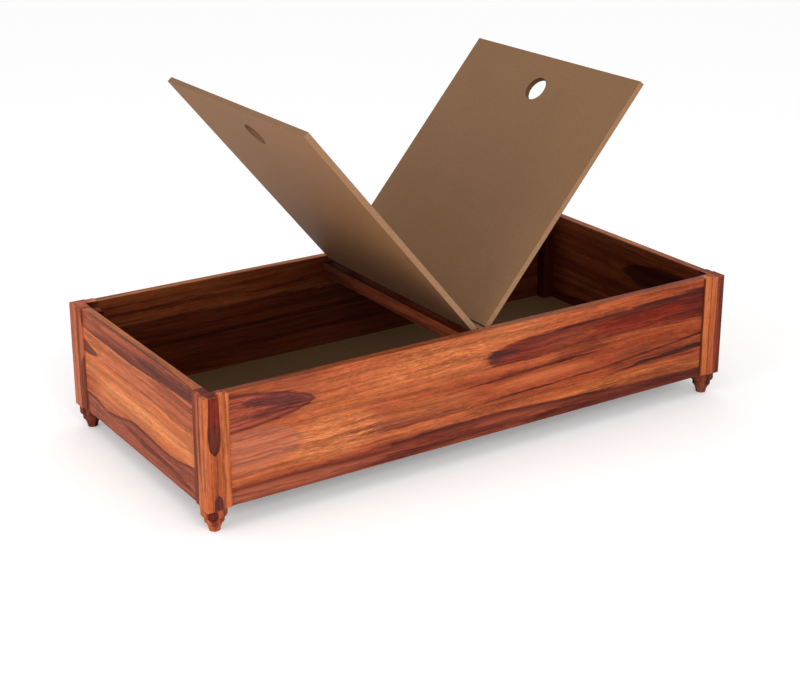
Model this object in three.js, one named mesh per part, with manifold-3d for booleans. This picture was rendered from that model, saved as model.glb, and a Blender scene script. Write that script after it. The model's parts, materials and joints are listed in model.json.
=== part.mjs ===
// Storage divan bed: a boxed wooden frame on four turned feet, with a floor inside and
// two lids that lift from a rail across the middle.
// Millimetres. X runs along the bed, Y from front to back, Z up. The floor of the room is
// z = 0 and the origin is the middle of the bed's footprint.

import * as THREE from 'three';
import { mergeVertices } from 'three/addons/utils/BufferGeometryUtils.js';
import Module from 'manifold-3d';

// Whole bed, outside the posts
const bedLength = 1980;
const bedWidth = 966;
const boxHeight = 356;
const footHeight = 76;

// Clearances
const seatGap = 0.3;
const slidingGap = 0.1;

// Posts: a square corner block, with a lower strip beside it on each outer face
const postAcross = 84;
const blockAcross = 54;
const stripSetback = 5;
const blockArris = 3;
const stripArris = 2;
const postTopEase = 1;

// Panels between the posts, tenoned into them
const panelSetback = 10;
const panelThickness = 32;
const panelArris = 4;
const tenonLength = 30;
const tenonThickness = 12;
const tenonInset = 40;
const mortiseEndGap = 1;

// Turned feet: a disc, a lower ring, and a coved taper to a flat tip
const footSetback = 40;
const discDiameter = 79;
const discHeight = 27;
const discEase = 6;
const ringDiameter = 61;
const ringHeight = 20;
const ringEase = 4;
const taperTopDiameter = 53;
const tipDiameter = 34.5;
const tipEase = 2;
const coveSharpness = 1.6;
const spigotDiameter = 25;
const spigotLength = 30;
const footSides = 28;

// Beam across the middle, with a thin rail standing on it that the lids hang on
const beamWidth = 110;
const beamDepth = 44;
const beamArris = 2;
const beamTenonLength = 15;
const beamTenonWidth = 90;
const beamTenonThickness = 20;
const railThickness = 17;

// Lids
const lidThickness = 19;
const lidEase = 0.8;
const lidSideGap = 3;
const lidEndGap = 11;
const deckRecess = 3;
const openAngle = THREE.MathUtils.degToRad(50);
const fingerHoleDiameter = 84;
const fingerHoleSetback = 123.5;

// Butt hinges, three to a lid
const hingeGap = 4;
const hingeInset = 138;
const hingeLength = 63;
const hingeAxisRise = 3.5;
const knuckleDiameter = 5.4;
const knuckleCount = 5;
const knuckleGap = 0.2;
const leafHeight = 17;
const leafThickness = 1.2;
const leafDrop = 0.4;
const pinDiameter = 3;
const pinClearance = 0.05;
const pinHeadDiameter = 4.4;
const pinHeadHeight = 1;
const hingeSides = 12;

// Bottom of the box
const floorBoardThickness = 6;
const floorBoardJoint = 2;
const battenWidth = 32;
const battenHeight = 18;
const centreBearerWidth = 70;
const sideBearerWidth = 45;
const sideBearerPlace = 475;

// Places that several pieces share
const boxTop = footHeight + boxHeight;
const deckTop = boxTop - deckRecess;
const deckUnderside = deckTop - lidThickness;
const beamTop = deckUnderside - seatGap;
const panelInset = panelSetback + panelThickness;
const innerHalfLength = bedLength / 2 - panelInset;
const innerHalfWidth = bedWidth / 2 - panelInset;
const postHalfLength = bedLength / 2 - postAcross;
const postHalfWidth = bedWidth / 2 - postAcross;
const panelCentreInset = panelSetback + panelThickness / 2;
const hingeAxisX = railThickness / 2 + hingeGap / 2;
const hingeAxisZ = deckTop + hingeAxisRise;
const lidStart = railThickness / 2 + hingeGap;
const lidLength = innerHalfLength - lidEndGap - lidStart;
const lidWidth = 2 * (innerHalfWidth - lidSideGap);
const battenTop = footHeight + battenHeight;
const bearerHalfLength = innerHalfWidth - battenWidth - 2 * seatGap;

const wasm = await Module();
wasm.setup();

// A closed geometry as a solid that can be joined and cut
function toSolid(geometry) {
  const bare = geometry.clone();
  bare.deleteAttribute('normal');
  bare.deleteAttribute('uv');
  const merged = mergeVertices(bare, 1e-4);
  const corners = merged.index.array;
  const triVerts = [];
  for (let i = 0; i < corners.length; i += 3) {
    const [a, b, c] = [corners[i], corners[i + 1], corners[i + 2]];
    if (a !== b && b !== c && c !== a) triVerts.push(a, b, c);
  }
  return new wasm.Manifold(new wasm.Mesh({
    numProp: 3,
    vertProperties: new Float32Array(merged.attributes.position.array),
    triVerts: new Uint32Array(triVerts),
  }));
}

function toGeometry(solid) {
  const mesh = solid.getMesh();
  const geometry = new THREE.BufferGeometry();
  geometry.setAttribute('position', new THREE.BufferAttribute(mesh.vertProperties, 3));
  geometry.setIndex(new THREE.BufferAttribute(mesh.triVerts, 1));
  geometry.computeVertexNormals();
  return geometry;
}

// A box between two corners
function block(x0, x1, y0, y1, z0, z1) {
  const geometry = new THREE.BoxGeometry(x1 - x0, y1 - y0, z1 - z0);
  return geometry.translate((x0 + x1) / 2, (y0 + y1) / 2, (z0 + z1) / 2);
}

// An outline through corners [x, y, radius], each corner eased by its radius
function easedOutline(corners) {
  const shape = new THREE.Shape();
  corners.forEach(([x, y, radius], i) => {
    const here = new THREE.Vector2(x, y);
    const [px, py] = corners[(i + corners.length - 1) % corners.length];
    const [nx, ny] = corners[(i + 1) % corners.length];
    const before = new THREE.Vector2(px, py).sub(here).setLength(radius).add(here);
    const after = new THREE.Vector2(nx, ny).sub(here).setLength(radius).add(here);
    if (i === 0) shape.moveTo(before.x, before.y);
    else shape.lineTo(before.x, before.y);
    if (radius > 0) shape.quadraticCurveTo(x, y, after.x, after.y);
  });
  shape.closePath();
  return shape;
}

// An outline raised to a height, with its top and bottom edges eased
function easedSlab(shape, height, ease, curveSegments) {
  return new THREE.ExtrudeGeometry(shape, {
    depth: height - 2 * ease,
    bevelThickness: ease,
    bevelSize: ease,
    bevelOffset: -ease,
    bevelSegments: 1,
    curveSegments,
  }).translate(0, 0, ease);
}

// A bar along X, centred on Y, with the section's upper corners eased
function bar(halfLength, thickness, height, arris) {
  const half = thickness / 2;
  const section = easedOutline([
    [-half, 0, 0], [half, 0, 0], [half, height, arris], [-half, height, arris],
  ]);
  const geometry = new THREE.ExtrudeGeometry(section, {
    depth: 2 * halfLength, bevelEnabled: false, curveSegments: 4,
  });
  const alongX = new THREE.Matrix4().makeBasis(
    new THREE.Vector3(0, 1, 0), new THREE.Vector3(0, 0, 1), new THREE.Vector3(1, 0, 0));
  return geometry.applyMatrix4(alongX).translate(-halfLength, 0, 0);
}

// Post: stands with its outer corner on the Z axis and its bottom at z = 0. Mortises take
// the two panels, a blind hole takes the foot's spigot, and the inner corner is cut down
// to a shoulder that carries a lid's corner.
function postGeometry() {
  const section = easedOutline([
    [0, 0, blockArris], [blockAcross, 0, stripArris], [blockAcross, stripSetback, 0],
    [postAcross, stripSetback, stripArris], [postAcross, postAcross, stripArris],
    [stripSetback, postAcross, stripArris], [stripSetback, blockAcross, 0],
    [0, blockAcross, stripArris],
  ]);
  const ease = Math.min(postTopEase, stripArris / 2, blockArris / 2);
  const post = toSolid(easedSlab(section, boxHeight, ease, 3));

  const halfSlot = tenonThickness / 2 + seatGap;
  const slotStart = postAcross - tenonLength - mortiseEndGap;
  const slotFoot = tenonInset - seatGap;
  const slotTop = boxHeight - tenonInset + seatGap;
  const [slotA, slotB] = [panelCentreInset - halfSlot, panelCentreInset + halfSlot];
  const alongMortise = toSolid(block(slotStart, postAcross + 1, slotA, slotB, slotFoot, slotTop));
  const acrossMortise = toSolid(block(slotA, slotB, slotStart, postAcross + 1, slotFoot, slotTop));

  const holeDepth = spigotLength + mortiseEndGap;
  const hole = new THREE.CylinderGeometry(
    spigotDiameter / 2 + seatGap, spigotDiameter / 2 + seatGap, holeDepth + 1, footSides);
  hole.rotateX(Math.PI / 2).translate(footSetback, footSetback, (holeDepth - 1) / 2);

  const shoulder = beamTop - footHeight;
  const rebate = block(
    panelInset, postAcross + 1, panelInset, postAcross + 1, shoulder, boxHeight + 1);
  return toGeometry(post.subtract(alongMortise).subtract(acrossMortise)
    .subtract(toSolid(hole)).subtract(toSolid(rebate)));
}

// Foot: turned about Z, with its tip at z = 0 and a spigot above the disc
function footGeometry() {
  const discTop = footHeight - seatGap;
  const discFoot = footHeight - discHeight;
  const ringFoot = discFoot - ringHeight;
  const spigotTop = footHeight + spigotLength;
  const profile = [[0, 0], [tipDiameter / 2 - tipEase, 0], [tipDiameter / 2, tipEase]];
  const coveSteps = 7;
  for (let i = 1; i <= coveSteps; i += 1) {
    const along = i / coveSteps;
    const swell = (taperTopDiameter - tipDiameter) / 2 * along ** coveSharpness;
    profile.push([tipDiameter / 2 + swell, tipEase + (ringFoot - tipEase) * along]);
  }
  const easedCorner = (radius, z, ease) => {
    for (const turn of [0, 30, 60, 90]) {
      const angle = THREE.MathUtils.degToRad(turn);
      profile.push([radius - ease + ease * Math.sin(angle), z + ease - ease * Math.cos(angle)]);
    }
  };
  easedCorner(ringDiameter / 2, ringFoot, ringEase);
  profile.push([ringDiameter / 2, discFoot]);
  easedCorner(discDiameter / 2, discFoot, discEase);
  profile.push([discDiameter / 2, discTop], [spigotDiameter / 2, discTop]);
  profile.push([spigotDiameter / 2, spigotTop - 1], [spigotDiameter / 2 - 1, spigotTop]);
  profile.push([0, spigotTop]);
  const points = profile.map(([r, z]) => new THREE.Vector2(r, z));
  const turned = new THREE.LatheGeometry(points, footSides).rotateX(Math.PI / 2);
  return toGeometry(toSolid(turned));
}

// Panel: runs along X with a tenon at each end, its bottom at z = 0
function panelSolid(halfLength) {
  const board = toSolid(bar(halfLength - seatGap, panelThickness, boxHeight, panelArris));
  const tenonReach = halfLength + tenonLength;
  const tenons = block(-tenonReach, tenonReach, -tenonThickness / 2, tenonThickness / 2,
    tenonInset, boxHeight - tenonInset);
  return board.add(toSolid(tenons));
}

// Front and back panels have a mortise in the inner face for the beam's tenon
function longPanelGeometry() {
  const tenonFoot = beamTop - footHeight - beamDepth / 2 - beamTenonThickness / 2;
  const halfWidth = beamTenonWidth / 2 + seatGap;
  const depth = beamTenonLength + mortiseEndGap;
  const mortise = block(-halfWidth, halfWidth, panelThickness / 2 - depth, panelThickness / 2 + 1,
    tenonFoot - seatGap, tenonFoot + beamTenonThickness + seatGap);
  return toGeometry(panelSolid(postHalfLength).subtract(toSolid(mortise)));
}

function endPanelGeometry() {
  return toGeometry(panelSolid(postHalfWidth));
}

// Beam: runs along Y with a stub tenon at each end, its top at z = 0
function beamGeometry() {
  const halfLength = innerHalfWidth - seatGap;
  const beam = bar(halfLength, beamWidth, beamDepth, beamArris);
  beam.translate(0, 0, -beamDepth).rotateZ(Math.PI / 2);
  const reach = innerHalfWidth + beamTenonLength;
  const tenons = block(-beamTenonWidth / 2, beamTenonWidth / 2, -reach, reach,
    -beamDepth / 2 - beamTenonThickness / 2, -beamDepth / 2 + beamTenonThickness / 2);
  return toGeometry(toSolid(beam).add(toSolid(tenons)));
}

// Floor board: covers half the bottom from the middle towards +X, cut round two posts
function floorBoardGeometry() {
  const start = floorBoardJoint / 2;
  const end = innerHalfLength - seatGap;
  const side = innerHalfWidth - seatGap;
  const [notchX, notchY] = [postHalfLength - seatGap, postHalfWidth - seatGap];
  const outline = new THREE.Shape([
    [start, -side], [notchX, -side], [notchX, -notchY], [end, -notchY],
    [end, notchY], [notchX, notchY], [notchX, side], [start, side],
  ].map(([x, y]) => new THREE.Vector2(x, y)));
  return new THREE.ExtrudeGeometry(outline, { depth: floorBoardThickness, bevelEnabled: false });
}

// Lid: lies along X from the hinge axis at the origin, as when it is shut
function lidGeometry() {
  const start = lidStart - hingeAxisX;
  const end = start + lidLength;
  const half = lidWidth / 2;
  const outline = new THREE.Shape([
    [start, -half], [end, -half], [end, half], [start, half],
  ].map(([x, y]) => new THREE.Vector2(x, y)));
  const hole = new THREE.Path();
  hole.absarc(end - fingerHoleSetback, 0, fingerHoleDiameter / 2, 0, 2 * Math.PI);
  outline.holes.push(hole);
  return easedSlab(outline, lidThickness, lidEase, 24).translate(0, 0, -hingeAxisRise - lidThickness);
}

// Hinge leaf: a plate under the hinge axis at the origin, with its own knuckles round the
// pin. side is -1 for the leaf on the rail and 1 for the leaf on the lid, and first is the
// first of its knuckles, which take every second place along the hinge. The bore's flats,
// not its corners, keep the pin's clearance.
function leafGeometry(side, first) {
  const outer = hingeGap / 2 - slidingGap;
  const inner = outer - leafThickness;
  const [x0, x1] = side < 0 ? [-outer, -inner] : [inner, outer];
  const plateTop = -hingeAxisRise - leafDrop;
  const half = hingeLength / 2;
  const knuckleLength = hingeLength / knuckleCount;
  const bore = (pinDiameter / 2 + pinClearance) / Math.cos(Math.PI / hingeSides);
  const barrel = knuckleDiameter / 2;
  let leaf = toSolid(block(x0, x1, -half, half, plateTop - leafHeight, plateTop));
  for (let i = first; i < knuckleCount; i += 2) {
    const y0 = -half + i * knuckleLength + (i > 0 ? knuckleGap / 2 : 0);
    const y1 = -half + (i + 1) * knuckleLength - (i < knuckleCount - 1 ? knuckleGap / 2 : 0);
    const ring = [[bore, y0], [barrel, y0], [barrel, y1], [bore, y1], [bore, y0]];
    const points = ring.map(([r, y]) => new THREE.Vector2(r, y));
    const tube = new THREE.LatheGeometry(points, hingeSides);
    const neck = block(x0, x1, y0, y1, plateTop - 1, -(bore + barrel) / 2);
    leaf = leaf.add(toSolid(neck).subtract(toSolid(solidRod(bore, y0 - 1, y1 + 1))));
    leaf = leaf.add(toSolid(tube));
  }
  return toGeometry(leaf);
}

// A plain round rod along Y
function solidRod(radius, y0, y1) {
  const points = [[0, y0], [radius, y0], [radius, y1], [0, y1]];
  return new THREE.LatheGeometry(points.map(([r, y]) => new THREE.Vector2(r, y)), hingeSides);
}

// Hinge pin: a rod along Y with a low head past each end of the hinge
function pinGeometry() {
  const shaft = pinDiameter / 2;
  const head = pinHeadDiameter / 2;
  const reach = hingeLength / 2 + slidingGap;
  const end = reach + pinHeadHeight;
  const dome = head * 0.7;
  const profile = [
    [0, -end], [dome, -end], [head, -end + pinHeadHeight / 2], [head, -reach], [shaft, -reach],
    [shaft, reach], [head, reach], [head, end - pinHeadHeight / 2], [dome, end], [0, end],
  ];
  const points = profile.map(([r, y]) => new THREE.Vector2(r, y));
  return toGeometry(toSolid(new THREE.LatheGeometry(points, hingeSides)));
}

const finishes = {
  sheesham: { color: 0x9c5434, roughness: 0.45, metalness: 0 },
  lidBoard: { color: 0x87664b, roughness: 0.6, metalness: 0 },
  floorBoard: { color: 0x56442f, roughness: 0.75, metalness: 0 },
  batten: { color: 0x7d4a30, roughness: 0.7, metalness: 0 },
  hingeSteel: { color: 0x8d8a82, roughness: 0.4, metalness: 1 },
};

function addPiece(parent, name, geometry, finish, place = [0, 0, 0], turn = 0) {
  const piece = new THREE.Mesh(geometry, new THREE.MeshStandardMaterial(finishes[finish]));
  piece.name = name;
  piece.position.set(...place);
  piece.rotation.z = turn;
  parent.add(piece);
}

function addCorners(bed) {
  const post = postGeometry();
  const foot = footGeometry();
  const [endX, sideY] = [bedLength / 2, bedWidth / 2];
  const corners = [
    ['front_left', -1, -1], ['front_right', 1, -1], ['back_right', 1, 1], ['back_left', -1, 1],
  ];
  corners.forEach(([corner, sx, sy], i) => {
    addPiece(bed, `post_${corner}`, post, 'sheesham',
      [sx * endX, sy * sideY, footHeight], i * Math.PI / 2);
    addPiece(bed, `foot_${corner}`, foot, 'sheesham',
      [sx * (endX - footSetback), sy * (sideY - footSetback), 0]);
  });
}

function addPanels(bed) {
  const long = longPanelGeometry();
  const end = endPanelGeometry();
  const y = bedWidth / 2 - panelCentreInset;
  const x = bedLength / 2 - panelCentreInset;
  addPiece(bed, 'front_panel', long, 'sheesham', [0, -y, footHeight]);
  addPiece(bed, 'back_panel', long, 'sheesham', [0, y, footHeight], Math.PI);
  addPiece(bed, 'left_end_panel', end, 'sheesham', [-x, 0, footHeight], -Math.PI / 2);
  addPiece(bed, 'right_end_panel', end, 'sheesham', [x, 0, footHeight], Math.PI / 2);
}

function addMiddle(bed) {
  addPiece(bed, 'centre_beam', beamGeometry(), 'sheesham', [0, 0, beamTop]);
  const [half, reach] = [railThickness / 2, lidWidth / 2];
  const rail = block(-half, half, -reach, reach, 0, lidThickness);
  addPiece(bed, 'hinge_rail', rail, 'lidBoard', [0, 0, deckUnderside]);
}

function addBottom(bed) {
  const board = floorBoardGeometry();
  const boardFoot = battenTop + seatGap;
  addPiece(bed, 'right_floor_board', board, 'floorBoard', [0, 0, boardFoot]);
  addPiece(bed, 'left_floor_board', board, 'floorBoard', [0, 0, boardFoot], Math.PI);

  const longHalf = postHalfLength - seatGap;
  const shortHalf = postHalfWidth - seatGap;
  const longBatten = block(-longHalf, longHalf, -battenWidth, 0, 0, battenHeight);
  const shortBatten = block(-shortHalf, shortHalf, -battenWidth, 0, 0, battenHeight);
  const [x, y] = [innerHalfLength - seatGap, innerHalfWidth - seatGap];
  addPiece(bed, 'back_batten', longBatten, 'batten', [0, y, footHeight]);
  addPiece(bed, 'front_batten', longBatten, 'batten', [0, -y, footHeight], Math.PI);
  addPiece(bed, 'left_batten', shortBatten, 'batten', [-x, 0, footHeight], Math.PI / 2);
  addPiece(bed, 'right_batten', shortBatten, 'batten', [x, 0, footHeight], -Math.PI / 2);

  const bearers = [
    ['left_bearer', -sideBearerPlace, sideBearerWidth],
    ['centre_bearer', 0, centreBearerWidth],
    ['right_bearer', sideBearerPlace, sideBearerWidth],
  ];
  for (const [name, place, width] of bearers) {
    const bearer = block(
      -width / 2, width / 2, -bearerHalfLength, bearerHalfLength, 0, battenHeight);
    addPiece(bed, name, bearer, 'batten', [place, 0, footHeight]);
  }
}

// Each half of the bed has a lid on three hinges. The lid and its leaves are in one group
// that turns about the hinge axis.
function addLids(bed) {
  const lid = lidGeometry();
  const railLeaf = leafGeometry(-1, 0);
  const lidLeaf = leafGeometry(1, 1);
  const pin = pinGeometry();
  const outer = lidWidth / 2 - hingeInset;
  const hinges = [['front', -outer], ['middle', 0], ['back', outer]];
  for (const [side, turn] of [['right', 0], ['left', Math.PI]]) {
    const half = new THREE.Group();
    half.rotation.z = turn;
    bed.add(half);
    const lift = new THREE.Group();
    lift.position.set(hingeAxisX, 0, hingeAxisZ);
    lift.rotation.y = -openAngle;
    half.add(lift);
    addPiece(lift, `${side}_lid`, lid, 'lidBoard');
    for (const [place, along] of hinges) {
      const y = side === 'left' ? -along : along;
      const name = `${side}_hinge_${place}`;
      addPiece(half, `${name}_rail_leaf`, railLeaf, 'hingeSteel', [hingeAxisX, y, hingeAxisZ]);
      addPiece(half, `${name}_pin`, pin, 'hingeSteel', [hingeAxisX, y, hingeAxisZ]);
      addPiece(lift, `${name}_lid_leaf`, lidLeaf, 'hingeSteel', [0, y, 0]);
    }
  }
}

const bed = new THREE.Group();
addCorners(bed);
addPanels(bed);
addMiddle(bed);
addBottom(bed);
addLids(bed);

export default bed;
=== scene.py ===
import json
from math import cos, pi, radians, sin

import bmesh
import bpy
from mathutils import Matrix, Vector

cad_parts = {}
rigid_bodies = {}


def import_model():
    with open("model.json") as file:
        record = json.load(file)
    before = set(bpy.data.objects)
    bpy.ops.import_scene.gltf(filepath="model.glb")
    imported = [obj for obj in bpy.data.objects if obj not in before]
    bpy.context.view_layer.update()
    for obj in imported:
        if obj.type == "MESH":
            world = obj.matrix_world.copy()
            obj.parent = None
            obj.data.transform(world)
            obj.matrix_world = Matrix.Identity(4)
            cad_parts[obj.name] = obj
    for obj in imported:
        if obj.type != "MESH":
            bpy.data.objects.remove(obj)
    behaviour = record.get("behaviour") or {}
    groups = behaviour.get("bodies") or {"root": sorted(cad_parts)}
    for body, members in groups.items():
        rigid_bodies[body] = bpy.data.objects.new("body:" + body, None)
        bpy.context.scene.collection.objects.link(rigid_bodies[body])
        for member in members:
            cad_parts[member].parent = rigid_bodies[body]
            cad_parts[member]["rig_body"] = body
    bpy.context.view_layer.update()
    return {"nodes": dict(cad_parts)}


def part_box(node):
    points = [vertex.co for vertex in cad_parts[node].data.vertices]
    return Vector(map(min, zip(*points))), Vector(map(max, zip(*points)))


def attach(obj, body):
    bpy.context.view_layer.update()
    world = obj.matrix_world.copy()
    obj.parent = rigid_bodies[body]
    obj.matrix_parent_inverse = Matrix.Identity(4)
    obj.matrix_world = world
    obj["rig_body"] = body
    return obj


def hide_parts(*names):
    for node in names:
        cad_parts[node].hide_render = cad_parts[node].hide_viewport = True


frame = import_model()
scene = bpy.context.scene

# Room: a pale floor under plain soft light, seen from the photo's place. Everything is in
# metres; the bed stands on the floor with its middle at the origin and its length along X.
camera_place = (-2.8639, -4.3634, 2.2617)
camera_pitch, camera_roll, camera_yaw = 70.880, 0.047, -32.951
camera_lens, sensor_width = 74.676, 36.0
frame_shift = (0.00645, -0.07626)

camera = bpy.data.objects.new("camera", bpy.data.cameras.new("camera"))
scene.collection.objects.link(camera)
camera.location = camera_place
camera.rotation_euler = (radians(camera_pitch), radians(camera_roll), radians(camera_yaw))
camera.data.lens = camera_lens
camera.data.sensor_width = sensor_width
camera.data.shift_x, camera.data.shift_y = frame_shift
scene.camera = camera
scene.view_settings.view_transform = "Standard"


def srgb(red, green, blue):
    """A colour as a picture gives it, 0 to 255, in the linear values that shaders take."""
    parts = [value / 255 for value in (red, green, blue)]
    linear = [p / 12.92 if p <= 0.04045 else ((p + 0.055) / 1.055) ** 2.4 for p in parts]
    return (*linear, 1.0)


class Wiring:
    """Short ways to put nodes into one tree. A value is a number, a tuple or a socket."""

    def __init__(self, tree):
        self.tree = tree

    def feed(self, socket, value):
        if isinstance(value, bpy.types.NodeSocket):
            self.tree.links.new(value, socket)
        else:
            socket.default_value = value

    def add(self, kind, inputs=None, **settings):
        node = self.tree.nodes.new("ShaderNode" + kind)
        for name, value in settings.items():
            setattr(node, name, value)
        for name, value in (inputs or {}).items():
            self.feed(node.inputs[name], value)
        return node

    def maths(self, operation, *values, clamp=False):
        node = self.add("Math", operation=operation, use_clamp=clamp)
        for socket, value in zip(node.inputs, values):
            self.feed(socket, value)
        return node.outputs[0]

    def times(self, first, second, clamp=False):
        return self.maths("MULTIPLY", first, second, clamp=clamp)

    def minus(self, first, second):
        return self.maths("SUBTRACT", first, second)

    def vector(self, operation, *values):
        node = self.add("VectorMath", operation=operation)
        for socket, value in zip(node.inputs, values):
            self.feed(socket, value)
        return node.outputs[0]

    def smooth(self, value, start, end, low=0.0, high=1.0):
        """Goes smoothly from low to high while the value goes from start to end."""
        inputs = {"Value": value, "From Min": start, "From Max": end, "To Min": low, "To Max": high}
        return self.add("MapRange", inputs, interpolation_type="SMOOTHSTEP").outputs[0]

    def blend(self, factor, first, second, mode="MIX"):
        node = self.add("Mix", data_type="RGBA", blend_type=mode)
        for index, value in ((0, factor), (6, first), (7, second)):
            self.feed(node.inputs[index], value)
        return node.outputs[2]

    def tinted(self, colour, tint):
        return self.blend(1.0, colour, tint, "MULTIPLY")

    def levelled(self, colour, level):
        """The colour made darker or lighter by a level, where 1 leaves it as it is."""
        grey = self.add("CombineXYZ", {"X": level, "Y": level, "Z": level}).outputs[0]
        return self.tinted(colour, grey)

    def raise_surface(self, shader, height, strength, distance):
        bump = self.add("Bump", {"Height": height, "Strength": strength, "Distance": distance})
        self.feed(shader["Normal"], bump.outputs[0])

    def split(self, vector):
        return self.add("SeparateXYZ", {"Vector": vector}).outputs

    def noise(self, place, scale, detail=2.0, roughness=0.5, distortion=0.0):
        """Noise on a place that is stretched by a scale for each axis, in lumps per metre."""
        inputs = {"Vector": self.vector("MULTIPLY", place, scale), "Scale": 1.0, "Detail": detail,
                  "Roughness": roughness, "Distortion": distortion}
        return self.add("TexNoise", inputs).outputs

    def use(self, group, inputs):
        node = self.add("Group", node_tree=group)
        for name, value in inputs.items():
            self.feed(node.inputs[name], value)
        return node.outputs

    def place(self):
        return self.add("TexCoord").outputs["Object"]


def new_material(name, **constants):
    """A material and its wiring. Constants are set on the shader's own sockets."""
    material = bpy.data.materials.new(name)
    material.use_nodes = True
    shader = material.node_tree.nodes["Principled BSDF"]
    for socket, value in constants.items():
        shader.inputs[socket.replace("_", " ").title().replace("Ior", "IOR")].default_value = value
    return material, Wiring(material.node_tree), shader.inputs


floor_span = 60.0
floor_colour = srgb(246, 246, 246)
floor_glow = 0.24
floor_mesh = bpy.data.meshes.new("floor")
corner = floor_span / 2
floor_mesh.from_pydata([(-corner, -corner, 0), (corner, -corner, 0), (corner, corner, 0),
                        (-corner, corner, 0)], [], [(0, 1, 2, 3)])
floor = bpy.data.objects.new("floor", floor_mesh)
scene.collection.objects.link(floor)
floor_paint, wiring, shader = new_material("pale floor", roughness=0.9, specular_ior_level=0.1,
                                           base_color=floor_colour, emission_color=floor_colour)
seen = wiring.add("LightPath").outputs["Is Camera Ray"]
wiring.feed(shader["Emission Strength"], wiring.times(seen, floor_glow))
floor_mesh.materials.append(floor_paint)

sky_strength = 0.80
sky = bpy.data.worlds.new("soft sky")
scene.world = sky
sky.use_nodes = True
wiring = Wiring(sky.node_tree)
ray = wiring.add("LightPath").outputs
seen = wiring.maths("MAXIMUM", ray["Is Camera Ray"],
                    wiring.maths("MAXIMUM", ray["Is Glossy Ray"], ray["Is Transmission Ray"]))
backdrop = sky.node_tree.nodes["Background"]
wiring.feed(backdrop.inputs["Color"], (1.0, 1.0, 1.0, 1.0))
wiring.feed(backdrop.inputs["Strength"],
            wiring.add("MapRange", {"Value": seen, "To Min": sky_strength, "To Max": 1.0}).outputs[0])


def add_softbox(name, place, target, size, power):
    lamp = bpy.data.objects.new(name, bpy.data.lights.new(name, "AREA"))
    scene.collection.objects.link(lamp)
    lamp.location = place
    lamp.rotation_euler = (Vector(target) - Vector(place)).to_track_quat("-Z", "Y").to_euler()
    lamp.data.shape = "RECTANGLE"
    lamp.data.size, lamp.data.size_y = size
    lamp.data.energy = power


add_softbox("front softbox", (-1.6, -5.0, 3.2), (0, 0, 0.3), (3.0, 2.0), 95)
add_softbox("left softbox", (-5.0, -0.6, 2.2), (0, 0, 0.4), (2.5, 2.0), 42)


# Posts: a square corner block of sheesham with a lower strip glued on each inner side, mortised
# for two panels. The inner corner is cut down to a shoulder that carries a lid's corner. The
# wood is orange-brown with dark red heartwood, stained and given a satin lacquer.
foot_height = 0.076
inner_half_length, inner_half_width = 0.948, 0.441


def new_group(name, inputs, outputs):
    """An empty node group with its sockets, given as (name, kind) or (name, kind, default)."""
    tree = bpy.data.node_groups.new(name, "ShaderNodeTree")
    for side, sockets in (("INPUT", inputs), ("OUTPUT", outputs)):
        for socket in sockets:
            made = tree.interface.new_socket(socket[0], in_out=side,
                                             socket_type="NodeSocket" + socket[1])
            if len(socket) > 2:
                made.default_value = socket[2]
    entry, leave = tree.nodes.new("NodeGroupInput"), tree.nodes.new("NodeGroupOutput")
    return tree, Wiring(tree), entry.outputs, leave.inputs


sheesham_grain, wiring, given, result = new_group(
    "Sheesham grain",
    [("Along", "Float"), ("Across", "Float"), ("Deep", "Float"), ("Seed", "Float"),
     ("Light", "Color"), ("Body", "Color"), ("Dark", "Color"), ("Streaks", "Float", 0.5),
     ("Curl", "Float", 0.3)],
    [("Colour", "Color"), ("Sway", "Float"), ("Tone", "Float"), ("Flecks", "Float"),
     ("Roughness", "Float"), ("Height", "Float")])
straight = wiring.add("CombineXYZ", {"X": given["Along"], "Y": given["Across"], "Z": given["Deep"]})
shift = wiring.add("VectorMath", {"Vector": (7.31, 3.17, 5.73), "Scale": given["Seed"]},
                   operation="SCALE").outputs[0]
seeded = wiring.vector("ADD", straight.outputs[0], shift)
slow = wiring.vector("SUBTRACT", wiring.noise(seeded, (1.6, 5.0, 5.0))[1], (0.5, 0.5, 0.5))
lively = wiring.vector("SUBTRACT", wiring.noise(seeded, (9.0, 26.0, 26.0))[1], (0.5, 0.5, 0.5))
sway = wiring.vector("ADD", wiring.vector("MULTIPLY", slow, (0.0, 0.050, 0.050)),
                     wiring.vector("MULTIPLY", lively, (0.0, 0.010, 0.010)))
flowing = wiring.vector("ADD", seeded, sway)
broad = wiring.noise(flowing, (0.9, 13.0, 13.0), detail=2.0)[0]
layers = wiring.noise(flowing, (1.9, 55.0, 55.0), detail=3.0, roughness=0.6)[0]
lines = wiring.noise(flowing, (3.2, 210.0, 210.0), detail=2.0)[0]
flecks = wiring.noise(flowing, (34.0, 300.0, 300.0), detail=3.0, roughness=0.6)[0]
fibre = wiring.noise(flowing, (24.0, 700.0, 700.0), detail=2.0, roughness=0.6)[0]
pores = wiring.smooth(wiring.noise(flowing, (75.0, 1500.0, 1500.0), detail=1.0)[0], 0.62, 0.70)
curl = wiring.noise(flowing, (30.0, 75.0, 75.0), detail=3.0, distortion=1.2)[0]

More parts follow.
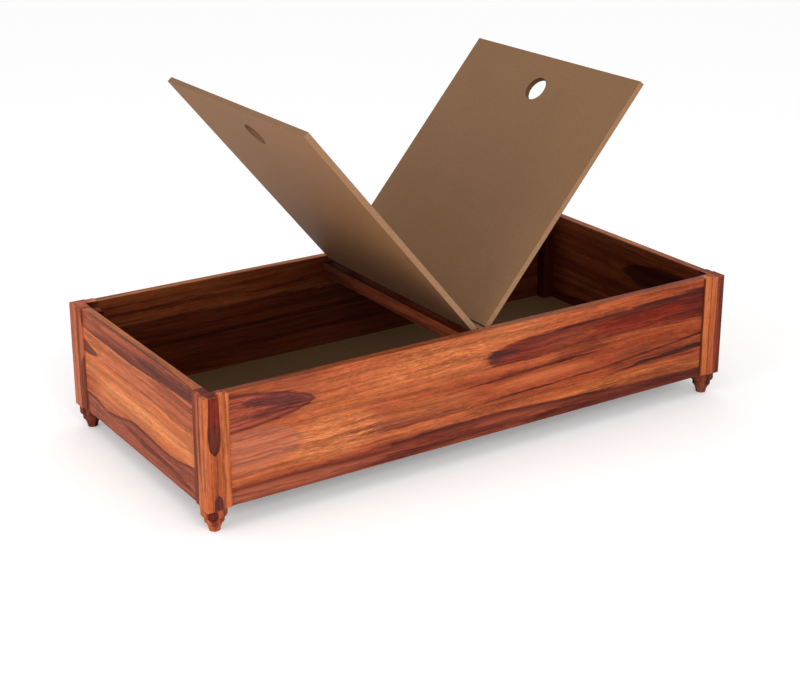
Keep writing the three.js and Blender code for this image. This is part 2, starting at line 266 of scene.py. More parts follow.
colour = wiring.blend(wiring.smooth(broad, 0.36, 0.64), given["Body"], given["Light"])
shade = wiring.times(wiring.smooth(layers, 0.54, 0.26), given["Streaks"])
colour = wiring.blend(shade, colour, given["Dark"])
# Golden flecks: partly paler flecks in the grain and partly painted highlights on the lacquer
fleck_and_highlight_colour = wiring.tinted(given["Light"], (1.16, 1.20, 1.20, 1.0))
patchy = wiring.smooth(broad, 0.42, 0.62, 0.08, 0.50)
fleck = wiring.times(wiring.smooth(flecks, 0.52, 0.72), patchy)
colour = wiring.blend(fleck, colour, fleck_and_highlight_colour)
thin = wiring.times(wiring.smooth(lines, 0.40, 0.26), given["Streaks"])
colour = wiring.blend(wiring.times(thin, 0.6), colour, given["Dark"])
level = wiring.smooth(fibre, 0.25, 0.75, 0.86, 1.14)
level = wiring.times(level, wiring.smooth(lines, 0.28, 0.72, 0.86, 1.14))
level = wiring.times(level, wiring.smooth(layers, 0.30, 0.70, 0.84, 1.16))
swell = wiring.times(wiring.minus(curl, 0.5), given["Curl"])
level = wiring.times(level, wiring.maths("MULTIPLY_ADD", swell, 2.0, 1.0))
level = wiring.times(level, wiring.maths("MULTIPLY_ADD", pores, -0.40, 1.0))
wiring.feed(result["Colour"], wiring.levelled(colour, level))
wiring.feed(result["Sway"], wiring.split(sway)[1])
tone = wiring.maths("MULTIPLY_ADD", wiring.smooth(layers, 0.30, 0.70), 0.40,
                    wiring.times(wiring.smooth(lines, 0.32, 0.68), 0.35))
tone = wiring.maths("MULTIPLY_ADD", wiring.smooth(flecks, 0.30, 0.70), 0.25, tone)
wiring.feed(result["Tone"], tone)
wiring.feed(result["Flecks"], wiring.smooth(flecks, 0.44, 0.64))
rough = wiring.maths("MULTIPLY_ADD", fibre, 0.22, wiring.times(pores, 0.2))
wiring.feed(result["Roughness"], rough)
pitted = wiring.times(pores, -1.0)
wiring.feed(result["Height"], wiring.maths("MULTIPLY_ADD", fibre, 0.4, pitted))

# A figure laid over the wood by the distance inside its outline. It is darker along its rim,
# fine rings follow its outline, and the streaks of the grain run on through it.
figure_over_wood, wiring, given, result = new_group(
    "Figure over wood",
    [("Ground", "Color"), ("Inside", "Float"), ("Tone", "Float"), ("Flecks", "Float"),
     ("Rim", "Color"), ("Core", "Color"), ("Rim width", "Float", 0.008), ("Soft", "Float", 0.006),
     ("Strength", "Float", 1.0), ("Broken", "Float", 0.0), ("Rings", "Float", 0.35)],
    [("Colour", "Color")])
wobble = wiring.times(wiring.minus(0.5, given["Tone"]), given["Soft"])
edge = wiring.maths("ADD", given["Inside"], wiring.times(wobble, 0.9))
mask = wiring.smooth(edge, wiring.times(given["Soft"], -0.5),
                     wiring.times(given["Soft"], 0.5))
lost = wiring.times(wiring.minus(1.0, given["Flecks"]), given["Broken"])
mask = wiring.times(mask, wiring.minus(given["Strength"], lost), clamp=True)
rings = wiring.add("TexNoise", {"W": edge, "Scale": 200.0, "Detail": 2.0}, noise_dimensions="1D")
ring = wiring.smooth(rings.outputs[0], 0.35, 0.65, 0.0, given["Rings"])
dark_part = wiring.maths("MAXIMUM", wiring.smooth(edge, given["Rim width"], 0.0), ring)
inner = wiring.blend(dark_part, given["Core"], given["Rim"])
inner = wiring.levelled(inner, wiring.smooth(given["Tone"], 0.15, 0.85, 0.66, 1.36))
wiring.feed(result["Colour"], wiring.blend(mask, given["Ground"], inner))

# Rubbed arrises: 1 along the edges of a box, 0 away from them
arris_wear, wiring, given, result = new_group(
    "Arris wear",
    [("Place", "Vector"), ("Centre", "Vector"), ("Half", "Vector"), ("Width", "Float", 0.004)],
    [("Mask", "Float")])
off = wiring.vector("ABSOLUTE", wiring.vector("SUBTRACT", given["Place"], given["Centre"]))
depth = wiring.split(wiring.vector("SUBTRACT", off, given["Half"]))
low = wiring.maths("MINIMUM", depth[0], depth[1])
high = wiring.maths("MAXIMUM", depth[0], depth[1])
middle = wiring.maths("MAXIMUM", low, wiring.maths("MINIMUM", high, depth[2]))
scratch = wiring.noise(given["Place"], (60.0, 60.0, 60.0), detail=3.0)[0]
edge = wiring.smooth(middle, wiring.times(given["Width"], -1.0), 0.0)
wiring.feed(result["Mask"], wiring.times(edge, wiring.smooth(scratch, 0.30, 0.62)))

# Painted shade inside the box: Mask is 1 on faces that look into it, but for a face at the bare
# height, where Bare is 1
inner_shade, wiring, given, result = new_group(
    "Inner painted shade",
    [("Place", "Vector"), ("Half length", "Float"), ("Half width", "Float"), ("Bare height", "Float")],
    [("Mask", "Float"), ("Bare", "Float")])
off = wiring.split(wiring.vector("ABSOLUTE", given["Place"]))
fade = 0.0014
by_length = wiring.smooth(wiring.minus(off[0], given["Half length"]), 2 * fade, fade)
by_width = wiring.smooth(wiring.minus(off[1], given["Half width"]), 2 * fade, fade)
from_bare = wiring.maths("ABSOLUTE", wiring.minus(off[2], given["Bare height"]))
both = wiring.times(by_length, by_width)
wiring.feed(result["Mask"], wiring.times(both, wiring.smooth(from_bare, 0.0003, 0.0007)))
wiring.feed(result["Bare"], wiring.times(both, wiring.smooth(from_bare, 0.0007, 0.0003)))

block_across = 0.054
top_height = 0.432
rubbed = srgb(206, 128, 80)
strip_top = (1.06, 1.06, 0.98, 1.0)
sharp_corner, crease_angle = radians(35), radians(50)


def figure(core, outline=(), lower=(), upper=(), rim=None, rim_width=8, soft=6, strength=1.0,
           broken=0.0, rings=0.35, from_side=False):
    """A figure in the wood, drawn in millimetres by its outline, a lower and an upper height at
    each place along the board, or by a lower line, an upper line or both. Heights are measured
    from the board's edge, or from its face and through the board for a figure from the side."""
    lower = lower or [(along, low) for along, low, high in outline]
    upper = upper or [(along, high) for along, low, high in outline]
    lower, upper = ([(x / 1000, z / 1000) for x, z in line] for line in (lower, upper))
    finish = {"Rim": srgb(*(rim or core)), "Core": srgb(*core), "Rim width": rim_width / 1000,
              "Soft": soft / 1000, "Strength": strength, "Broken": broken, "Rings": rings}
    return dict(lower=lower, upper=upper, from_side=from_side, finish=finish)


def line_height(wiring, along, points):
    """The height of a smooth line through points at each place along the board."""
    start, end = points[0][0], points[-1][0]
    share = wiring.add("MapRange", {"Value": along, "From Min": start, "From Max": end}).outputs[0]
    line = wiring.add("FloatCurve", {"Value": share})
    curve = line.mapping.curves[0]
    for point, (x, height) in zip((curve.points[0], curve.points[-1]), (points[0], points[-1])):
        point.location = ((x - start) / (end - start), height)
    for x, height in points[1:-1]:
        curve.points.new((x - start) / (end - start), height)
    line.mapping.update()
    return line.outputs[0]


def sheesham(node, axes, seed, light, body, dark, streaks=0.4, curl=0.3, figures=(), dusk=None,
             under_slope=0.0, block_corner=None, bare_height=0.0, inside_shade=(0.26, 0.22, 0.23),
             ledge_shade=(1.0, 1.0, 1.0), top_tint=(0.66, 0.70, 0.72)):
    """The lacquered sheesham of one node. Axes names the frame's axes along the grain, across
    the face and through the board. Figures are laid over the wood in their order. Dusk darkens
    the board from one place along it to another. A post has a block corner, and strips beyond
    the block. Painted shade darkens the inside of the box, and faces at the bare height."""
    material, wiring, shader = new_material(f"sheesham {node}", specular_ior_level=0.07)
    low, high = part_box(node)
    here = wiring.place()
    parts = wiring.split(here)
    along, across, deep = (parts[axis] for axis in axes)
    if block_corner:
        from_x = wiring.maths("ABSOLUTE", wiring.minus(parts["X"], block_corner[0]))
        from_y = wiring.maths("ABSOLUTE", wiring.minus(parts["Y"], block_corner[1]))
        past_joint = wiring.minus(wiring.maths("MAXIMUM", from_x, from_y), block_across)
        strip = wiring.maths("GREATER_THAN", past_joint, 0.0)
        seed = wiring.maths("MULTIPLY_ADD", strip, 0.37, seed)
    grain = wiring.use(sheesham_grain, {
        "Along": along, "Across": across, "Deep": deep, "Seed": seed, "Light": srgb(*light),
        "Body": srgb(*body), "Dark": srgb(*dark), "Streaks": streaks, "Curl": curl})
    colour = grain["Colour"]
    if dusk:
        start, end, tint = dusk
        shade = wiring.smooth(along, start, end)
        colour = wiring.blend(shade, colour, wiring.tinted(colour, (*tint, 1.0)))
    edge_of_board = low["XYZ".index(axes[1])]
    face_of_board = low["XYZ".index(axes[2])]
    swayed = wiring.times(grain["Sway"], 0.30)
    under = wiring.minus(deep, face_of_board)
    sunk = wiring.times(under, under_slope)
    for drawn in figures:
        up = under if drawn["from_side"] else wiring.minus(across, edge_of_board)
        up = wiring.maths("ADD", up, swayed)
        sides = []
        if drawn["upper"]:
            sides.append(wiring.minus(line_height(wiring, along, drawn["upper"]), up))
        if drawn["lower"]:
            sides.append(wiring.minus(up, line_height(wiring, along, drawn["lower"])))
        line = drawn["upper"] or drawn["lower"]
        past_start = wiring.minus(along, line[0][0])
        before_end = wiring.minus(line[-1][0], along)
        sides += [wiring.times(past_start, 0.4), wiring.times(before_end, 0.4)]
        inside = sides[0]
        for side in sides[1:]:
            inside = wiring.maths("MINIMUM", inside, side)
        if under_slope:
            inside = wiring.minus(inside, sunk)
        colour = wiring.use(figure_over_wood, {
            "Ground": colour, "Inside": inside, "Tone": grain["Tone"], "Flecks": grain["Flecks"],
            **drawn["finish"]})["Colour"]
    worn = wiring.use(arris_wear, {"Place": here, "Centre": tuple((low + high) / 2),
                                   "Half": tuple((high - low) / 2)})["Mask"]
    colour = wiring.blend(wiring.times(worn, 0.30), colour, rubbed)
    if block_corner:
        seam = wiring.smooth(wiring.maths("ABSOLUTE", past_joint), 0.0010, 0.0003, 0.0, 0.4)
        colour = wiring.blend(seam, colour, srgb(*dark))
    top = wiring.smooth(parts["Z"], top_height - 0.0009, top_height - 0.0003)
    end_tint = (*top_tint, 1.0)
    if block_corner:
        long_strip = wiring.maths("GREATER_THAN", from_x, block_across)
        end_tint = wiring.blend(long_strip, end_tint, strip_top)
    colour = wiring.blend(top, colour, wiring.tinted(colour, end_tint))
    # Painted shade: faces inside the box are darkened, and faces at the bare height get their own
    # painted shade
    inner = wiring.use(inner_shade, {"Place": here, "Half length": inner_half_length,
                                     "Half width": inner_half_width, "Bare height": bare_height})
    shaded_inside = wiring.tinted(colour, (*inside_shade, 1.0))
    shaded = wiring.tinted(colour, (*ledge_shade, 1.0))
    colour = wiring.blend(inner["Mask"], colour, shaded_inside)
    colour = wiring.blend(inner["Bare"], colour, shaded)
    wiring.feed(shader["Base Color"], colour)
    wiring.feed(shader["Roughness"], wiring.maths("ADD", grain["Roughness"], 0.36))
    wiring.raise_surface(shader, grain["Height"], strength=0.35, distance=0.0004)
    return material


def new_piece(name, shape, material, crease=crease_angle):
    """An object at the origin that takes over a shape, smooth but for its creases."""
    for face in shape.faces:
        face.smooth = True
    mesh = bpy.data.meshes.new(name)
    shape.to_mesh(mesh)
    shape.free()
    mesh.set_sharp_from_angle(angle=crease)
    mesh.materials.append(material)
    piece = bpy.data.objects.new(name, mesh)
    scene.collection.objects.link(piece)
    return piece


def softened(node, name, width, material):
    """A piece with a CAD node's shape, its sharp outer edges softened by a small rounding."""
    shape = bmesh.new()
    shape.from_mesh(frame["nodes"][node].data)
    bmesh.ops.remove_doubles(shape, verts=shape.verts, dist=1e-5)
    bmesh.ops.dissolve_limit(shape, angle_limit=radians(0.6), verts=shape.verts, edges=shape.edges)
    sharp = [edge for edge in shape.edges
             if edge.is_manifold and edge.is_convex and edge.calc_face_angle(0) > sharp_corner]
    bmesh.ops.bevel(shape, geom=sharp, offset=width, segments=2, affect="EDGES", profile=0.5,
                    clamp_overlap=True)
    piece = new_piece(name, shape, material)
    piece.modifiers.new("even shading", "WEIGHTED_NORMAL").keep_sharp = True
    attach(piece, frame["nodes"][node]["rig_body"])
    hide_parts(node)
    return piece


post_arris = 0.0007
shoulder_height = 0.410
# Painted shade: the posts' faces inside the box are darkened, the back right one most, and their
# shoulders under the lids too
corner_inside_shade = (0.13, 0.10, 0.10)
corner_top = (0.82, 0.68, 0.66)
shoulder_shade = (0.42, 0.34, 0.34)
post_woods = {
    "front_left": dict(
        seed=1.0, light=(202, 108, 62), body=(176, 86, 48), dark=(106, 48, 32), streaks=0.7,
        figures=[
            figure((134, 46, 28),
                   [(250, 31, 31), (262, 19, 43), (290, 12, 50), (360, 12, 50), (440, 14, 47)],
                   rim=(82, 32, 22), rim_width=9, soft=3),
            figure((104, 50, 38), [(256, 31, 31), (272, 17, 40), (310, 14, 46), (345, 28, 44)],
                   rim=(74, 36, 30), rim_width=8, soft=8, strength=0.85),
            figure((106, 54, 44), [(70, 26, 52), (98, 24, 53), (115, 28, 48), (125, 38, 38)],
                   rim=(84, 38, 32), rim_width=6, soft=4),
            figure((106, 46, 30), lower=[(50, 62), (250, 58), (450, 64)], soft=10, strength=0.9,
                   from_side=True),
            figure((112, 50, 32), [(120, 26, 28), (280, 30, 40), (450, 26, 38)], soft=8, strength=0.9,
                   from_side=True)]),
    "front_right": dict(
        seed=2.0, light=(196, 108, 62), body=(172, 86, 48), dark=(116, 52, 32), streaks=0.55,
        figures=[
            figure((110, 46, 31), lower=[(50, 56), (200, 50), (300, 56), (450, 52)], rim=(132, 60, 38),
                   rim_width=18, soft=8),
            # Painted shadow: a narrow dark band along the strip's edge beside the front panel
            figure((84, 34, 20), upper=[(50, 8), (200, 8), (330, 5), (450, 3)], soft=4,
                   strength=0.85)]),
    "back_right": dict(seed=3.0, light=(196, 108, 62), body=(168, 84, 48), dark=(104, 46, 30),
                       inside_shade=(0.07, 0.045, 0.07)),
    "back_left": dict(
        seed=4.0, light=(198, 112, 76), body=(172, 88, 58), dark=(112, 54, 40), streaks=0.6,
        top_tint=(1.0, 0.90, 0.82),
        figures=[
            figure((106, 48, 32), upper=[(50, 22), (200, 26), (250, 18), (270, 0)], soft=8,
                   strength=0.85, from_side=True),
            figure((96, 40, 32), upper=[(370, 0), (400, 8), (450, 14)], soft=6, strength=0.85,
                   from_side=True)]),
}
for corner_name, wood in post_woods.items():
    node = f"post_{corner_name}"
    low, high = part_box(node)
    corner_of_block = (low.x if "left" in node else high.x, low.y if "front" in node else high.y)
    finish = sheesham(node, "ZXY", block_corner=corner_of_block, bare_height=shoulder_height,
                      ledge_shade=shoulder_shade, **{"inside_shade": corner_inside_shade, "top_tint": corner_top, **wood})
    softened(node, f"{node}_wood", post_arris, finish)


# Feet: turned from one block of sheesham about an upright axis: a disc under the post, a
# smaller ring, and a coved taper to a flat tip. A spigot glues each one into its post.
disc_radius, disc_foot, disc_ease = 0.0395, 0.049, 0.006
ring_radius, ring_foot, ring_ease = 0.0305, 0.029, 0.004
taper_radius, tip_radius, tip_ease = 0.0265, 0.01725, 0.002
seat_gap = 0.0003


def turned_profile():
    """The foot's outline from the middle of its tip to the middle of its seat, as (radius, z)."""
    profile = [(0.0, 0.0), (tip_radius - tip_ease, 0.0)]
    profile += [(tip_radius - tip_ease + tip_ease * sin(a), tip_ease - tip_ease * cos(a))
                for a in (radians(30), radians(60), radians(90))]
    steps = 14
    for i in range(1, steps + 1):
        swell = (taper_radius - tip_radius) * (i / steps) ** 1.6
        profile.append((tip_radius + swell, tip_ease + (ring_foot - tip_ease) * i / steps))
    for radius, low, ease, top in ((ring_radius, ring_foot, ring_ease, disc_foot),
                                   (disc_radius, disc_foot, disc_ease, foot_height - seat_gap)):
        profile += [(radius - ease + ease * sin(radians(a)), low + ease - ease * cos(radians(a)))
                    for a in range(0, 91, 15)]
        profile += [(radius, top - 0.0015), (radius - 0.0006, top - 0.0004), (radius - 0.0015, top)]
    return profile + [(0.0, foot_height - seat_gap)]


def turned(name, profile, centre, material, sides=64):
    """A closed solid of revolution about an upright axis through centre."""
    shape = bmesh.new()
    chain = [shape.verts.new((radius, 0.0, z)) for radius, z in profile]
    edges = [shape.edges.new(pair) for pair in zip(chain, chain[1:])]
    bmesh.ops.spin(shape, geom=chain + edges, axis=(0, 0, 1), cent=(0, 0, 0), angle=2 * pi,
                   steps=sides, use_merge=True)
    bmesh.ops.remove_doubles(shape, verts=shape.verts, dist=1e-6)
    bmesh.ops.recalc_face_normals(shape, faces=shape.faces)
    bmesh.ops.translate(shape, vec=centre, verts=shape.verts)
    return new_piece(name, shape, material)


pinkish_wood = ((196, 108, 66), (158, 74, 46), (92, 38, 27))
brown_wood = ((160, 86, 54), (124, 58, 38), (76, 32, 24))
dark_wood = ((132, 62, 42), (104, 46, 32), (66, 28, 22))
foot_knot = figure((102, 40, 30), [(36, 22, 22), (45, 13, 33), (58, 9, 36), (76, 12, 30)],
                   rim=(68, 24, 20), rim_width=6, soft=4)
foot_sap = figure((136, 74, 50), [(-20, 4, 34), (20, 10, 32), (56, 12, 20)], soft=10, strength=0.75)
foot_stain = figure((72, 30, 22), [(30, 36, 42), (50, 26, 58), (100, 20, 62)], soft=10, strength=0.8)
foot_woods = {"front_left": (11.0, pinkish_wood, [foot_knot]),
              "front_right": (12.0, brown_wood, [foot_sap, foot_stain]),
              "back_right": (13.0, brown_wood, []), "back_left": (14.0, dark_wood, [])}
for corner_name, (seed, foot_wood, figures) in foot_woods.items():
    low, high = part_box(f"foot_{corner_name}")
    middle = (low + high) / 2
    finish = sheesham(f"foot_{corner_name}", "ZXY", seed, *foot_wood, 0.8, figures=figures)
    foot = turned(f"foot_{corner_name}_turning", turned_profile(), (middle.x, middle.y, 0.0), finish)
    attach(foot, "bed_frame")
    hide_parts(f"foot_{corner_name}")


# Panels: four sheesham boards on edge, tenoned into the posts. Flat-sawn boards, so that dark
# heartwood shows as long bands and as lenses with round tips.
panel_arris = 0.0008

# Front: pale and dark patches, the band along the foot, the lens at the left end, the heart on
# the right with its core, and thin streaks
front_figures = [
    figure((206, 120, 70), lower=[(-30, 334), (40, 308), (120, 306), (200, 334)], soft=30,
           strength=0.65, broken=0.4),
    figure((194, 104, 62), [(20, 146, 156), (200, 138, 176), (440, 150, 162)], soft=24, strength=0.55),
    figure((208, 126, 72), [(-420, 240, 300), (-270, 256, 345), (-100, 246, 352), (50, 270, 310)],
           soft=50, strength=0.7, broken=0.65),
    figure((214, 132, 80), lower=[(-740, 112), (-640, 82), (-500, 82), (-390, 118)],
           upper=[(-740, 150), (-640, 198), (-490, 204), (-370, 150)], soft=40, strength=0.76,
           broken=0.55),
    figure((124, 60, 42), [(-460, 116, 118), (-340, 98, 140), (-200, 98, 136), (-80, 110, 116)],
           soft=30, strength=0.85),
    figure((200, 112, 66), [(-360, 136, 156), (-220, 134, 180), (-60, 146, 166)], soft=30,
           strength=0.6, broken=0.2),
    figure((206, 118, 58), [(220, 58, 60), (450, 48, 78), (650, 40, 84), (920, 38, 76)], soft=24,
           strength=0.7, broken=0.3),
    figure((118, 50, 32), [(500, 90, 122), (680, 92, 138), (916, 100, 140)], soft=30, strength=0.65),
    figure((110, 46, 32), upper=[(120, 20), (300, 42), (500, 66), (700, 76), (916, 96)], soft=36,
           strength=0.55),
    figure((136, 62, 42), [(-580, 52, 60), (-400, 52, 86), (-240, 58, 78)], soft=22, strength=0.55),
    figure((136, 62, 44), upper=[(-916, 55), (-600, 57), (-440, 62), (-250, 68), (-50, 71), (70, 70),
                                 (203, 63), (388, 53), (573, 43), (758, 37), (990, 38)],
           rim=(80, 34, 26), rim_width=28, soft=9),
    figure((92, 40, 30), [(-700, 14, 18), (-300, 8, 28), (50, 16, 34), (450, 10, 14)], soft=14,
           strength=0.8),
    figure((158, 84, 60), [(-916, 4, 42), (-700, 6, 44), (-500, 12, 36), (-380, 20, 26)], soft=14,
           strength=0.75),
    figure((134, 60, 42), [(-916, 46, 56), (-700, 49, 58), (-500, 46, 60), (-360, 50, 64)], soft=6,
           strength=0.9),
    figure((172, 98, 74), [(-916, 100, 222), (-800, 94, 224), (-720, 112, 206), (-660, 150, 160)],
           soft=36, strength=0.75),
    figure((156, 74, 50), [(-50, 36, 40), (100, 30, 48), (240, 24, 34)], soft=12, strength=0.7),
    figure((86, 34, 26), upper=[(160, 10), (320, 34), (600, 28), (800, 28), (990, 36)], soft=14,
           strength=0.75),
    figure((138, 66, 46), lower=[(-770, 230), (-700, 245), (-600, 272)], soft=30, strength=0.65),
    figure((168, 80, 56), lower=[(-1100, 216), (-852, 227), (-744, 240), (-660, 258), (-619, 277)],
           upper=[(-1100, 328), (-840, 337), (-700, 314), (-640, 294), (-619, 277)], rim=(84, 38, 34),
           rim_width=16, soft=8, rings=0.7),
    figure((100, 46, 40), [(-840, 248, 254), (-760, 250, 288), (-670, 270, 278)], soft=24,
           strength=0.7),
    figure((82, 40, 38), [(-860, 300, 316), (-780, 283, 322), (-700, 268, 308), (-630, 274, 282)],
           soft=16, strength=0.85),
    figure((134, 50, 30), lower=[(0, 256), (12, 240), (40, 231), (180, 229), (294, 234), (415, 240),
                                 (540, 232), (650, 225), (916, 222)],
           upper=[(0, 256), (22, 274), (65, 288), (243, 303), (490, 305), (650, 309), (916, 319)],
           rim=(104, 38, 26), rim_width=14, soft=18),
    figure((104, 42, 28), [(270, 196, 284), (380, 180, 300), (480, 198, 286)], soft=36, strength=0.6),
    figure((118, 34, 16), [(400, 270, 276), (550, 250, 296), (750, 245, 302), (916, 250, 308)],
           soft=30, strength=0.8),
    figure((78, 28, 24), [(780, 266, 272), (860, 244, 298), (990, 222, 322)], soft=34, strength=0.7),
    figure((178, 84, 48), [(190, 262, 266), (260, 240, 284), (380, 248, 282), (460, 262, 266)],
           soft=26, strength=0.65, broken=0.45),
    figure((108, 46, 38), [(10, 248, 258), (60, 236, 280), (250, 234, 292), (380, 252, 282)], soft=30,
           strength=0.6, broken=0.3),
    figure((84, 42, 38), [(50, 258, 270), (120, 266, 288), (250, 272, 296), (360, 282, 290)], soft=22,
           strength=0.75, broken=0.4),
    figure((74, 30, 24), [(300, 296, 303), (490, 290, 313), (650, 293, 315), (916, 302, 324)], soft=17,
           strength=0.85),
    figure((72, 36, 38), lower=[(-10, 256), (6, 243), (30, 236), (70, 246), (110, 262)],
           upper=[(-10, 256), (10, 270), (34, 279), (70, 278), (110, 268)], soft=24, strength=0.95,
           broken=0.15),
    figure((80, 32, 22),
           [(-160, 172, 174), (0, 178, 184), (200, 183, 191), (345, 185, 195), (470, 192, 194)],
           soft=6, strength=0.95),
    figure((80, 32, 22), [(-60, 110, 112), (100, 113, 119), (340, 119, 126), (560, 129, 136),
                          (750, 146, 153), (916, 162, 171)], soft=6, strength=0.95),
    figure((108, 52, 40), [(520, 160, 162), (600, 152, 168), (720, 154, 170), (800, 162, 164)],
           soft=12, strength=0.55),
    figure((66, 28, 22), [(460, 88, 90), (580, 96, 104), (640, 101, 117), (720, 106, 119),
                          (840, 112, 127), (916, 114, 132)], soft=9, strength=0.95),
]
# Back: darker below, partly darker wood and partly painted shade, and two streaks
back_figures = [
    figure((124, 54, 34), upper=[(-916, 248), (-400, 252), (100, 240), (500, 250), (916, 246)],
           rim=(92, 38, 26), rim_width=12, soft=14, strength=0.85),
    figure((62, 24, 18), [(-800, 150, 154), (-400, 156, 168), (200, 160, 178), (700, 172, 176)],
           soft=10, strength=0.6),
    figure((62, 24, 18), [(-600, 96, 100), (0, 90, 106), (600, 104, 108)], soft=10, strength=0.5),
]
# Left end: patches, the dark wood along the top and the foot, and a lens's tip at the back
left_figures = [
    figure((168, 88, 58), [(-409, 262, 312), (0, 256, 312), (280, 262, 304)], soft=30, strength=0.5),
    figure((226, 136, 82), lower=[(-409, 96), (-200, 100), (100, 94), (300, 80)],
           upper=[(-409, 176), (-200, 188), (60, 196), (300, 160)], soft=50, strength=0.65,
           broken=0.15),
    figure((144, 72, 46), [(-409, 212, 304), (-250, 224, 304), (-100, 262, 288)], soft=34,
           strength=0.75),
    figure((176, 92, 62),
           [(-409, 232, 262), (-300, 226, 266), (0, 214, 262), (200, 230, 262), (300, 236, 240)],
           soft=30, strength=0.6),
    figure((226, 144, 90), [(-360, 134, 146), (-100, 130, 158), (150, 138, 162), (270, 150, 156)],
           soft=20, strength=0.8, broken=0.4),
    figure((150, 72, 48),
           lower=[(-409, 309), (-300, 305), (-150, 300), (-50, 293), (150, 292), (409, 293)],
           rim=(92, 40, 30), rim_width=30, soft=8),
    figure((174, 90, 58), lower=[(-100, 348), (50, 338), (200, 332), (409, 326)], soft=16,
           strength=0.65),
    figure((172, 92, 62), [(260, 312, 318), (340, 300, 330), (440, 298, 334)], soft=24, strength=0.6),
    figure((88, 40, 34), [(-409, 312, 340), (-300, 312, 346), (-150, 308, 342), (0, 322, 326)],
           soft=16, strength=0.8),
    figure((118, 52, 38), [(-40, 324, 326), (150, 326, 333), (300, 329, 337), (409, 331, 339)], soft=6,
           strength=0.4),
    figure((130, 60, 44), lower=[(-100, 352), (150, 351), (409, 352)], soft=6, strength=0.3),
    figure((155, 80, 57), upper=[(-409, 112), (-378, 108), (-300, 92), (-184, 85), (-36, 91), (26, 93),
                                 (88, 85), (166, 69), (244, 62), (320, 74), (409, 70)],
           rim=(96, 42, 30), rim_width=16, soft=6),
    figure((106, 48, 34), [(-360, 20, 34), (-200, 30, 52), (0, 40, 64), (120, 58, 62)], soft=12,
           strength=0.8),
    figure((118, 56, 42), [(288, 230, 232), (330, 219, 246), (409, 212, 262)], rim=(92, 42, 32),
           rim_width=9, soft=7),
    figure((140, 72, 54), [(-110, 222, 224), (-70, 214, 230), (-30, 220, 226)], soft=12, strength=0.6),
]
# Right end: a long lens from the front, and dark wood along the foot
right_figures = [
    figure((84, 32, 22), [(-409, 214, 301), (-100, 222, 292), (0, 250, 256)], rim=(46, 18, 16),
           rim_width=12, soft=16, strength=0.85),
    figure((128, 58, 40), upper=[(-409, 52), (0, 66), (409, 44)], rim=(84, 34, 26), rim_width=14,
           soft=8),
]
panel_woods = {
    "front_panel": dict(
        axes="XZY", seed=21.0, light=(192, 102, 60), body=(164, 78, 46), dark=(104, 42, 28),
        streaks=0.45, curl=0.45, dusk=(-0.30, 0.80, (0.80, 0.66, 0.60)), figures=front_figures),
    "back_panel": dict(
        axes="XZY", seed=22.0, light=(206, 118, 62), body=(176, 86, 46), dark=(108, 44, 28),
        streaks=0.7, figures=back_figures),
    "left_end_panel": dict(
        axes="YZX", seed=23.0, light=(212, 120, 68), body=(184, 92, 50), dark=(126, 56, 36),
        streaks=0.50, curl=0.4, under_slope=9.0, figures=left_figures),
    # The right end is darker towards its back end: painted shade in the box's back corner
    "right_end_panel": dict(
        axes="YZX", seed=24.0, light=(200, 114, 64), body=(172, 84, 46), dark=(110, 46, 30),
        streaks=0.55, dusk=(0.28, 0.40, (0.64, 0.52, 0.80)), figures=right_figures),
}
for node, wood in panel_woods.items():
    softened(node, f"{node}_board", panel_arris, sheesham(node, **wood))


# Centre beam: a sheesham bar across the box with stub tenons, under the lids' hinge line. It
# stiffens the long panels and carries the hinge rail.
beam_figures = [
    figure((88, 36, 24), upper=[(-455, 2), (-200, 10), (200, 13), (455, 13)], soft=14, strength=0.7,
           from_side=True)]
# Painted shade on the beam: dark on its top under the lids, on its faces inside the box, and darker
# towards its far end by the back panel
beam_wood = sheesham("centre_beam", "YXZ", 31.0, (164, 84, 50), (130, 62, 38), (76, 34, 24), 0.6,
                     dusk=(-0.10, 0.42, (0.33, 0.36, 0.36)), figures=beam_figures,
                     bare_height=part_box("centre_beam")[1].z, ledge_shade=(0.29, 0.15, 0.12),
                     inside_shade=(0.55, 0.52, 0.52))
bar_arris = 0.0006
softened("centre_beam", "centre_beam_bar", bar_arris, beam_wood)


# Bottom: sawn battens glued and screwed round the foot of the panels, three bearers across
# between them, and two thin brown boards on top that meet over the middle bearer.
for index, node in enumerate(("front_batten", "back_batten", "left_batten", "right_batten",
                              "left_bearer", "centre_bearer", "right_bearer")):
    axes = "XYZ" if node in ("front_batten", "back_batten") else "YXZ"
    sawn = sheesham(node, axes, 40.0 + index, (150, 92, 60), (122, 68, 44), (84, 44, 30), 0.5)
    softened(node, f"{node}_strip", bar_arris, sawn)

rolled_steel, wiring, given, result = new_group(
    "Rolled steel",
    [("Place", "Vector"), ("Bright", "Color"), ("Dull", "Color")],
    [("Colour", "Color"), ("Roughness", "Float"), ("Height", "Float")])
brushing = wiring.noise(given["Place"], (2600.0, 130.0, 2600.0), detail=2.0)[0]
spangle = wiring.noise(given["Place"], (420.0, 420.0, 420.0), detail=3.0, roughness=0.6)[0]
handled = wiring.noise(given["Place"], (45.0, 45.0, 45.0), detail=3.0)[0]
dullness = wiring.maths("MULTIPLY_ADD", spangle, 0.5, wiring.times(handled, 0.5))
worn = wiring.smooth(dullness, 0.40, 0.60)
wiring.feed(result["Colour"], wiring.blend(worn, given["Bright"], given["Dull"]))
rough = wiring.maths("MULTIPLY_ADD", worn, 0.20, 0.30)
wiring.feed(result["Roughness"], wiring.maths("MULTIPLY_ADD", brushing, 0.12, rough))
wiring.feed(result["Height"], brushing)


